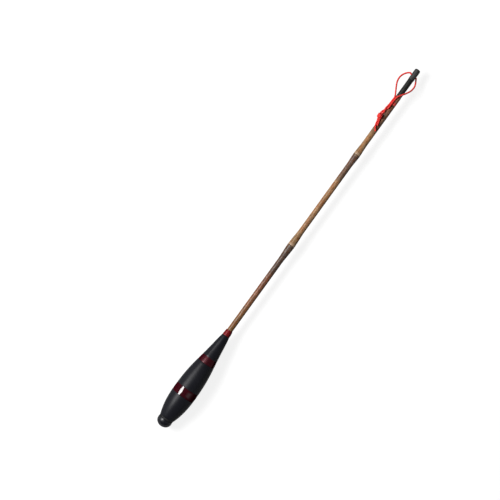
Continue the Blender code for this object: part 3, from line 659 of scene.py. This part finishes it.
def drawn(name, outline):
    """Draw an outline of (place, radius) points over the rod's axis from one point, left in edit mode."""
    (place, radius), *rest = outline
    bpy.ops.object.select_all(action="DESELECT")
    bpy.ops.mesh.primitive_plane_add(size=POINT_SIZE, location=(BUTT_FACE + place, 0.0, AXIS_HEIGHT))
    piece = bpy.context.object
    piece.name = name
    piece.data.name = name
    bpy.ops.object.mode_set(mode="EDIT")
    bpy.ops.mesh.merge(type="CENTER")
    bpy.ops.transform.translate(value=(0.0, 0.0, radius))
    for next_place, next_radius in rest:
        step = (next_place - place, 0.0, next_radius - radius)
        bpy.ops.mesh.extrude_vertices_move(TRANSFORM_OT_translate={"value": step})
        place, radius = next_place, next_radius
    bpy.ops.mesh.select_all(action="SELECT")
    bpy.ops.mesh.remove_doubles(threshold=MERGE_DISTANCE)
    return piece


def close_up(piece):
    """Merge a shape's seams and poles, turn its faces outwards and put its place in its mesh."""
    bpy.ops.mesh.select_all(action="SELECT")
    bpy.ops.mesh.remove_doubles(threshold=MERGE_DISTANCE)
    bpy.ops.mesh.normals_make_consistent(inside=False)
    bpy.ops.object.mode_set(mode="OBJECT")
    bpy.ops.object.transform_apply(location=True, rotation=True, scale=True)
    return piece


def turned(name, outline, steps=ROUND_STEPS):
    """A piece turned round the rod's axis; an outline that starts off the axis is closed on itself."""
    if outline[0][1] > 0:
        outline = [*outline, outline[0]]
    piece = drawn(name, outline)
    bpy.ops.mesh.spin(steps=steps, angle=math.tau, center=piece.location, axis=(1.0, 0.0, 0.0))
    return close_up(piece)


def modify(piece, kind, **settings):
    """Add a modifier with its settings and apply it."""
    bpy.ops.object.select_all(action="DESELECT")
    piece.select_set(True)
    bpy.context.view_layer.objects.active = piece
    modifier = piece.modifiers.new(kind.lower(), kind)
    for name, value in settings.items():
        setattr(modifier, name, value)
    bpy.ops.object.modifier_apply(modifier=modifier.name)


def ease(piece, width, segments=3):
    """Round a piece's sharp edges."""
    modify(
        piece, "BEVEL", width=width, segments=segments,
        limit_method="ANGLE", angle_limit=SMOOTH_ANGLE, use_clamp_overlap=True,
    )


def combine(piece, other, operation):
    """Join another shape to a piece, or cut it out, and remove the other shape."""
    modify(piece, "BOOLEAN", object=other, operation=operation, solver="EXACT")
    bpy.data.objects.remove(other)


def dress(piece, material, body, node=None):
    """Give a piece its finish and its body, and hide the solid that it stands for."""
    bpy.ops.object.select_all(action="DESELECT")
    piece.select_set(True)
    bpy.context.view_layer.objects.active = piece
    piece.data.materials.clear()
    piece.data.materials.append(material)
    bpy.ops.object.shade_smooth_by_angle(angle=SMOOTH_ANGLE)
    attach(piece, body)
    if node:
        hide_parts(node)


# Keeper cord


def polar(ahead, standoff, degrees):
    """A point by its distance ahead of the cross hole and from the axis, so many degrees over to the left."""
    angle = math.radians(degrees)
    return Vector((ahead, standoff * math.sin(angle), standoff * math.cos(angle)))


def flowing(points, count):
    """So many points along a smooth curve through the given ones."""
    ends = [points[0] * 2 - points[1], *points, points[-1] * 2 - points[-2]]
    flow = []
    for index in range(count):
        place = (len(points) - 1) * index / (count - 1)
        step = min(int(place), len(points) - 2)
        t = place - step
        before, here, there, after = ends[step:step + 4]
        slope = there - before
        bend = 2 * before - 5 * here + 4 * there - after
        twist = 3 * here - before - 3 * there + after
        flow.append(0.5 * (2 * here + slope * t + bend * t ** 2 + twist * t ** 3))
    return flow


def run_strand(side):
    """One strand of the doubled run: it lies beside the other, then winds part of a turn round it."""
    strand = []
    for index, centre in enumerate(flowing([polar(*place) for place in RUN_ROUTE], RUN_POINTS)):
        share = index / (RUN_POINTS - 1)
        wound = max(0.0, share - RUN_STRAIGHT_SHARE) / (1 - RUN_STRAIGHT_SHARE)
        turn = RUN_TURN * wound ** 2 * (3 - 2 * wound)
        out = Vector((0.0, centre.y, centre.z)).normalized()
        left = Vector((0.0, out.z, -out.y))
        strand.append(centre + side * STRAND_SPACING / 2 * (left * math.cos(turn) + out * math.sin(turn)))
    return strand


def from_eye(points):
    """Points measured from the cross hole, in the rod's own frame."""
    eye = Vector((BUTT_FACE + EYE_PLACE, 0.0, AXIS_HEIGHT))
    return [eye + Vector(point) for point in points]


def cord_tube(name, points, end_radii=(1.0, 1.0)):
    """A smooth tube of cord through the points, made a mesh with its own UV map."""
    curve = bpy.data.curves.new(name, "CURVE")
    curve.dimensions = "3D"
    curve.bevel_depth = CORD_DIAMETER / 2
    curve.bevel_resolution = CORD_ROUNDNESS
    curve.resolution_u = CORD_SMOOTHNESS
    curve.use_fill_caps = True
    spline = curve.splines.new("BEZIER")
    spline.bezier_points.add(len(points) - 1)
    for knot, point in zip(spline.bezier_points, points):
        knot.co = point
        knot.handle_left_type = "AUTO"
        knot.handle_right_type = "AUTO"
    spline.bezier_points[0].radius, spline.bezier_points[-1].radius = end_radii
    tube = bpy.data.objects.new(name, curve)
    bpy.context.collection.objects.link(tube)
    bpy.ops.object.select_all(action="DESELECT")
    tube.select_set(True)
    bpy.context.view_layer.objects.active = tube
    bpy.ops.object.convert(target="MESH")
    return bpy.context.object


def path_length(points):
    """Length along a path."""
    return sum((there - here).length for here, there in zip(points, points[1:]))


def make_keeper():
    """Both strands of the keeper cord, each from the cross hole to its tail's end, and their knot."""
    centre = polar(*KNOT_ROUTE)
    wrap = []
    for index in range(KNOT_WRAP_POINTS):
        share = index / (KNOT_WRAP_POINTS - 1)
        angle = math.tau * KNOT_WRAP_TURNS * share
        ahead = KNOT_WRAP_PITCH * KNOT_WRAP_TURNS * (share - 0.5) + KNOT_WRAP_SLANT * math.sin(angle)
        tucked = max(0.0, 1 - min(share, 1 - share) / KNOT_TUCK_SHARE)
        out = KNOT_WRAP_RADIUS * (1 - KNOT_WRAP_TUCK * tucked)
        wrap.append(centre + Vector((ahead, out * math.sin(angle), out * math.cos(angle))))
    wrap = from_eye(wrap)
    knot = cord_tube("keeper_cord_knot", wrap)
    finish = braid("red braid of the knot", BRAID_REPEATS * path_length(wrap))
    dress(knot, finish, "front_plug_unit", "keeper_knot")
    for name, side, loop, tail, pieces in (
        ("left", 1, LEFT_LOOP, LEFT_TAIL, [knot]),
        ("right", -1, RIGHT_LOOP, RIGHT_TAIL, []),
    ):
        points = [*map(Vector, loop), *run_strand(side), centre, *(polar(*place) for place in tail)]
        points = from_eye(points)
        strand = cord_tube(f"keeper_cord_{name}", points, (1.0, TAIL_TAPER))
        finish = braid(f"red braid of the {name} strand", BRAID_REPEATS * path_length(points))
        dress(strand, finish, "front_plug_unit", f"keeper_strand_{name}")
        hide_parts(f"keeper_tail_{name}")


# Pieces of the rod


def make_grip(material):
    """Grip: a turned spindle with two winding grooves, a seat for the bush and a bore for the tube."""
    outline = []
    reached = 0.0
    for start, length in WINDINGS.values():
        floor = min(grip_radius(start), grip_radius(start + length)) - WINDING_DEPTH
        outline += [(place, grip_radius(place)) for place in steps_between(reached, start, GRIP_STEP)]
        reached = start + length
        outline += [(start, floor), (reached, floor)]
    outline += [(place, grip_radius(place)) for place in steps_between(reached, GRIP_LENGTH, GRIP_STEP)]
    seat = TUBE_RADIUS + GLUE_GAP
    root = TUBE_ROOT - SEAT_GAP
    outline += [(GRIP_LENGTH, seat), (root, seat), (root, BUSH_BORE)]
    outline += [(BUSH_SEAT, BUSH_BORE), (BUSH_SEAT, BUSH_SEAT_RADIUS), (0.0, BUSH_SEAT_RADIUS)]
    grip = turned("lacquered_grip", outline)
    ease(grip, GRIP_EDGE, segments=2)
    dress(grip, material, "handle", "grip")


def make_winding(name, material):
    """Winding let into the grip, its lacquer crowned up to the grip's surface."""
    start, length = WINDINGS[name]
    floor = min(grip_radius(start), grip_radius(start + length)) - WINDING_DEPTH + GLUE_GAP
    places = steps_between(start + WINDING_GAP, start + length - WINDING_GAP, WINDING_STEP)
    outline = []
    for place in places:
        share = (place - places[0]) / (places[-1] - places[0])
        sunk = WINDING_CROWN * (1 - math.sin(math.pi * share))
        outline.append((place, grip_radius(place) - sunk))
    outline += [(places[-1], floor), (places[0], floor)]
    winding = turned(f"{name}_thread", outline)
    dress(winding, material, "handle", name)


def make_front_winding(material):
    """Winding over the tube's root, crowned and drawn in towards the tube."""
    start = GRIP_LENGTH + WINDING_GAP
    inner = TUBE_RADIUS + GLUE_GAP / 2
    outline = []
    for place in steps_between(start, TUBE_START, FRONT_WINDING_STEP):
        share = (place - start) / (TUBE_START - start)
        radius = GRIP_FRONT_RADIUS + (FRONT_WINDING_END_RADIUS - GRIP_FRONT_RADIUS) * share
        crown = FRONT_WINDING_CROWN * math.sin(math.pi * share) ** FRONT_WINDING_FULLNESS
        outline.append((place, radius + crown))
    outline += [(TUBE_START, inner), (start, inner)]
    winding = turned("winding_front_thread", outline)
    dress(winding, material, "handle", "winding_front")


def node_swell(place):
    """How far the tube swells at a place near its nodes."""
    swell = 0.0
    for centre, height, reach in NODES:
        share = min(1.0, abs(place - centre) / reach)
        swell += height * math.cos(math.pi / 2 * share) ** 2
    return swell


def make_tube(material):
    """Outer tube: straight lengths, two swelling nodes with ridge and scar, and a rounded mouth."""
    outline = [(TUBE_ROOT, TUBE_RADIUS)]
    for centre, _, reach in NODES:
        before = steps_between(centre - reach, centre + NODE_OUTLINE[0][0] - TUBE_STEP / 2, TUBE_STEP)
        after = steps_between(centre + NODE_OUTLINE[-1][0] + TUBE_STEP / 2, centre + reach, TUBE_STEP)
        outline += [(place, TUBE_RADIUS + node_swell(place)) for place in before]
        for past, lift in NODE_OUTLINE:
            outline.append((centre + past, TUBE_RADIUS + node_swell(centre + past) + lift))
        outline += [(place, TUBE_RADIUS + node_swell(place)) for place in after]
    lip = TUBE_END - MOUTH_LENGTH
    outline += [(TUBE_END, TUBE_RADIUS), (TUBE_END, TUBE_MOUTH), (lip, TUBE_MOUTH)]
    outline += [(lip - COLLAR_TAPER, TUBE_BORE), (TUBE_ROOT, TUBE_BORE)]
    tube = turned("bamboo_tube", outline)
    ease(tube, TUBE_EDGE)
    dress(tube, material, "handle", "butt_section")


def make_section(name, material):
    """Inner tube with a wide collar at its butt and a narrowed mouth."""
    end, radius, carrier, bore, mouth = SECTIONS[name]
    collar = carrier - RUNNING_GAP
    collar_end = SECTIONS_BUTT + COLLAR_LENGTH
    lip = end - MOUTH_LENGTH
    outline = [(SECTIONS_BUTT, collar), (collar_end, collar), (collar_end + COLLAR_TAPER, radius)]
    outline += [(end, radius), (end, mouth), (lip, mouth), (lip - COLLAR_TAPER, bore), (SECTIONS_BUTT, bore)]
    section = turned(f"{name}_tube", outline, SECTION_ROUND_STEPS)
    ease(section, SECTION_EDGE)
    dress(section, material, f"{name}_tube", name)


def make_tip(material):
    """Solid tip, tapering from its collar to the end that holds the line."""
    collar = SECTIONS["third_section"][3] - RUNNING_GAP
    collar_end = SECTIONS_BUTT + COLLAR_LENGTH
    outline = [(SECTIONS_BUTT, 0.0), (SECTIONS_BUTT, collar), (collar_end, collar)]
    outline += [(collar_end + COLLAR_TAPER, TIP_RADIUS), (TIP_END - SLEEVE_LENGTH, TIP_END_RADIUS)]
    outline += [(TIP_END, TIP_END_RADIUS), (TIP_END, 0.0)]
    tip = turned("glass_tip", outline, THIN_ROUND_STEPS)
    ease(tip, TIP_EDGE)
    dress(tip, material, "tip_unit", "tip_section")


def make_lilian(rubber, line_material):
    """The sleeve over the tip's end, and the braided line holder with its end knot."""
    back, front = TIP_END - SLEEVE_LENGTH / 2, TIP_END + SLEEVE_LENGTH / 2
    outline = [(back, SLEEVE_RADIUS), (front, SLEEVE_RADIUS), (front, SLEEVE_BORE), (back, SLEEVE_BORE)]
    sleeve = turned("tip_sleeve", outline, THIN_ROUND_STEPS)
    ease(sleeve, SLEEVE_EDGE, segments=2)
    dress(sleeve, rubber, "tip_unit", "lilian_sleeve")
    knot = LILIAN_ROOT + LILIAN_LENGTH
    outline = [(LILIAN_ROOT, 0.0), (LILIAN_ROOT, TIP_END_RADIUS)]
    places = steps_between(LILIAN_ROOT + LILIAN_STEP, knot, LILIAN_STEP)
    outline += [(place, TIP_END_RADIUS) for place in places]
    for share, swell in LILIAN_KNOT_OUTLINE:
        radius = TIP_END_RADIUS + (LILIAN_KNOT_RADIUS - TIP_END_RADIUS) * swell
        outline.append((knot + LILIAN_KNOT_LENGTH * share, radius))
    outline.append((knot + LILIAN_KNOT_LENGTH, 0.0))
    line = turned("lilian_line", outline, THIN_ROUND_STEPS)
    dress(line, line_material, "tip_unit", "lilian")


def thread_ridge(name, start, turns, root, crest):
    """A right-hand thread's ridge, wound along the rod's axis."""
    quarter = THREAD_PITCH / 4
    sunk = root - (crest - root) * RIDGE_SUNK
    rise, fall, end = (start + quarter * share for share in RIDGE_OUTLINE)
    outline = [(start, sunk), (rise, crest), (fall, crest), (end, sunk), (start, sunk)]
    ridge = drawn(name, outline)
    bpy.ops.object.mode_set(mode="OBJECT")
    modify(
        ridge, "SCREW", axis="X", angle=math.tau, screw_offset=THREAD_PITCH, iterations=turns,
        steps=THREAD_STEPS, render_steps=THREAD_STEPS,
        use_merge_vertices=True, merge_threshold=MERGE_DISTANCE,
    )
    bpy.ops.object.mode_set(mode="EDIT")
    bpy.ops.mesh.select_all(action="SELECT")
    bpy.ops.mesh.fill_holes(sides=RIDGE_END_SIDES)
    return close_up(ridge)


def make_butt_plug(material):
    """Domed screw plug: the knob with eased edges, a plain neck and a right-hand thread on its shank."""
    crown = math.asin(KNOB_FLAT_RADIUS / KNOB_RADIUS)
    outline = [(KNOB_END, 0.0)]
    for index in range(DOME_STEPS + 1):
        angle = crown + (math.pi / 2 - crown) * index / DOME_STEPS
        height = DOME_HEIGHT * math.cos(angle) / math.cos(crown)
        outline.append((KNOB_END + DOME_HEIGHT - height, KNOB_RADIUS * math.sin(angle)))
    outline += [(KNOB_BASE - KNOB_CHAMFER, KNOB_RADIUS), (KNOB_BASE, KNOB_RADIUS - KNOB_CHAMFER)]
    outline += [(KNOB_BASE, THREAD_ROOT_RADIUS), (SHANK_END, THREAD_ROOT_RADIUS), (SHANK_END, 0.0)]
    plug = turned("screw_plug", outline)
    ease(plug, KNOB_EDGE)
    neck_end = KNOB_BASE + SHANK_NECK
    turns = round((SHANK_END - neck_end) / THREAD_PITCH) - 1
    start = neck_end + THREAD_PITCH / 4
    ridge = thread_ridge("plug_thread", start, turns, THREAD_ROOT_RADIUS, THREAD_CREST_RADIUS)
    combine(plug, ridge, "UNION")
    dress(plug, material, "butt_plug_unit", "butt_plug")


def make_gasket(material):
    """Rubber ring between the knob and the grip."""
    back, front = GASKET
    outline = [(back, BUSH_BORE), (back, GASKET_RADIUS), (front, GASKET_RADIUS), (front, BUSH_BORE)]
    gasket = turned("rubber_gasket", outline)
    ease(gasket, GASKET_EDGE, segments=4)
    dress(gasket, material, "gasket_ring", "gasket")


def make_bush(material):
    """Brass bush in the grip's butt, with a thread cut in its bore."""
    outline = [(0.0, BUSH_RADIUS), (BUSH_LENGTH, BUSH_RADIUS), (BUSH_LENGTH, BUSH_BORE), (0.0, BUSH_BORE)]
    bush = turned("brass_bush", outline)
    ease(bush, BUSH_EDGE, segments=2)
    turns = round(BUSH_LENGTH / THREAD_PITCH) + 1
    inner = BUSH_BORE - BUSH_CUT_START
    groove = thread_ridge("bush_thread", -THREAD_PITCH, turns, inner, BUSH_BORE + BUSH_GROOVE)
    combine(bush, groove, "DIFFERENCE")
    dress(bush, material, "handle", "butt_bush")


def make_pad(material):
    """Rubber disc on the shank's end that the inner sections rest against."""
    back, front = PAD
    dish = front - PAD_DISH_DEPTH
    outline = [(back, 0.0), (back, PAD_RADIUS), (front, PAD_RADIUS), (front, PAD_RADIUS * PAD_DISH_MOUTH)]
    outline += [(dish, PAD_RADIUS * PAD_DISH_FLOOR), (dish, 0.0)]
    pad = turned("shank_pad", outline)
    ease(pad, PAD_EDGE)
    dress(pad, material, "butt_plug_unit", "rattle_pad")


def make_stem(material):
    """Front plug's stem: the spigot in the tube's mouth, the stem, and the nipple for the head."""
    back = TUBE_END - SPIGOT_LENGTH
    shoulder = TUBE_END + SEAT_GAP
    nipple_end = STEM_END + NIPPLE_LENGTH
    outline = [(back, 0.0), (back, SPIGOT_RADIUS), (shoulder, SPIGOT_RADIUS), (shoulder, STEM_RADIUS)]
    outline += [(STEM_END, STEM_RADIUS), (STEM_END, NIPPLE_RADIUS)]
    outline += [(nipple_end, NIPPLE_RADIUS), (nipple_end, 0.0)]
    stem = turned("front_plug_stem", outline)
    ease(stem, STEM_EDGE)
    dress(stem, material, "front_plug_unit", "plug_stem")


def eye_cutter():
    """Cutter for the cross hole: a circle drawn out along Y, narrow inside and flared at both mouths."""
    past = HEAD_RADIUS + EYE_FLARE
    flare = HEAD_RADIUS - EYE_FLARE
    wide = EYE_RADIUS + 2 * EYE_FLARE
    bpy.ops.object.select_all(action="DESELECT")
    bpy.ops.mesh.primitive_circle_add(
        vertices=THIN_ROUND_STEPS,
        radius=wide,
        fill_type="NGON",
        location=(BUTT_FACE + EYE_PLACE, -past, AXIS_HEIGHT),
        rotation=(math.pi / 2, 0.0, 0.0),
    )
    cutter = bpy.context.object
    bpy.ops.object.mode_set(mode="EDIT")
    mouth = past - flare
    for step, scale in ((mouth, EYE_RADIUS / wide), (2 * flare, 1.0), (mouth, wide / EYE_RADIUS)):
        bpy.ops.mesh.extrude_region_move(TRANSFORM_OT_translate={"value": (0.0, step, 0.0)})
        bpy.ops.transform.resize(value=(scale, 1.0, scale))
    return close_up(cutter)


def make_head(material):
    """Front plug's head: fine rings behind, a rounded end, and a flared cross hole for the cord."""
    start = STEM_END + GLUE_GAP
    socket = NIPPLE_RADIUS + GLUE_GAP
    depth = STEM_END + NIPPLE_LENGTH + GLUE_GAP
    outline = [(depth, 0.0), (depth, socket), (start, socket), (start, HEAD_RADIUS)]
    for past in HEAD_RING_PLACES:
        place = STEM_END + past
        outline += [(place - HEAD_RING_WIDTH, HEAD_RADIUS), (place, HEAD_RADIUS - HEAD_RING_DEPTH)]
        outline.append((place + HEAD_RING_WIDTH, HEAD_RADIUS))
    for index in range(HEAD_STEPS + 1):
        angle = math.pi / 2 * index / HEAD_STEPS
        place = HEAD_END - HEAD_ROUNDING + HEAD_ROUNDING * math.sin(angle)
        outline.append((place, HEAD_FLAT_RADIUS + (HEAD_RADIUS - HEAD_FLAT_RADIUS) * math.cos(angle)))
    outline.append((HEAD_END, 0.0))
    head = turned("front_plug_head", outline)
    ease(head, HEAD_EDGE, segments=2)
    combine(head, eye_cutter(), "DIFFERENCE")
    dress(head, material, "front_plug_unit", "plug_head")


# Studio


def make_floor():
    """Floor that looks white to the eye and in gloss, and keeps the rod's soft shadow."""
    bpy.ops.object.select_all(action="DESELECT")
    bpy.ops.mesh.primitive_circle_add(vertices=FLOOR_STEPS, radius=FLOOR_RADIUS, fill_type="NGON")
    floor = bpy.context.object
    floor.name = "floor"
    material, tree, shader = surface(
        "white floor", base_color=FLOOR_GREY, roughness=0.9, specular_ior_level=0.1, emission_color=FLOOR_GLOW
    )
    rays = put(tree, "ShaderNodeLightPath")
    seen = calculate(tree, "MAXIMUM", rays.outputs["Is Camera Ray"], rays.outputs["Is Glossy Ray"])
    seen = calculate(tree, "MAXIMUM", seen, rays.outputs["Is Transmission Ray"])
    glow = calculate(tree, "MULTIPLY", seen, FLOOR_GLOW_STRENGTH)
    tree.links.new(glow, shader.inputs["Emission Strength"])
    floor.data.materials.append(material)


def make_lights():
    """A square soft lamp over the rod's left, a corner towards it, and a dim studio with a faint strip."""
    bpy.ops.object.light_add(
        type="AREA",
        location=(BUTT_FACE + BELLY_PLACE - LAMP_BACK, LAMP_LEFT, AXIS_HEIGHT + LAMP_HEIGHT),
        rotation=(0.0, 0.0, LAMP_TURN),
    )
    lamp = bpy.context.object
    lamp.name = "soft_lamp"
    lamp.data.shape = "SQUARE"
    lamp.data.size = LAMP_WIDTH
    lamp.data.energy = LAMP_POWER
    world = bpy.data.worlds.new("dim studio")
    bpy.context.scene.world = world
    world.use_nodes = True
    tree = world.node_tree
    coordinates = put(tree, "ShaderNodeTexCoord")
    parts = put(tree, "ShaderNodeSeparateXYZ", {"Vector": coordinates.outputs["Generated"]})
    sky = shades(tree, parts.outputs["Z"], SKY)
    upper = spread(tree, parts.outputs["Y"], *STRIP_UPPER_EDGE)
    lower = spread(tree, parts.outputs["Y"], *STRIP_LOWER_EDGE)
    strip = band(tree, parts.outputs["X"], STRIP_ALONG, STRIP_HALF_WIDTH, STRIP_SOFTNESS)
    strip = calculate(tree, "MULTIPLY", strip, calculate(tree, "MINIMUM", upper, lower))
    tree.links.new(mix(tree, strip, sky, STRIP_LIGHT), tree.nodes["Background"].inputs["Color"])


def main():
    """The camera and the cord first, then the rod from its grip to its front plug, and the studio."""
    bpy.context.scene.view_settings.view_transform = "Standard"
    make_camera()
    make_keeper()

    rubber = fine_skin("black rubber")
    reds = {
        "winding_rear": lacquered_thread("polished wine red winding"),
        "winding_middle": lacquered_thread("satin wine red winding"),
    }
    bright_red = lacquered_thread("bright red winding")
    blank = black_blank()
    make_grip(black_lacquer())
    for name in WINDINGS:
        make_winding(name, reds[name])
    make_front_winding(bright_red)
    make_tube(painted_bamboo())
    make_bush(turned_brass())
    make_gasket(rubber)
    make_butt_plug(fine_skin("black knob"))
    make_pad(rubber)
    for name in SECTIONS:
        make_section(name, blank)
    make_tip(solid_tip())
    make_lilian(rubber, fine_skin("red lilian"))
    make_stem(fine_skin("black plug"))
    make_head(fine_skin("grey black head"))

    make_floor()
    make_lights()


main()
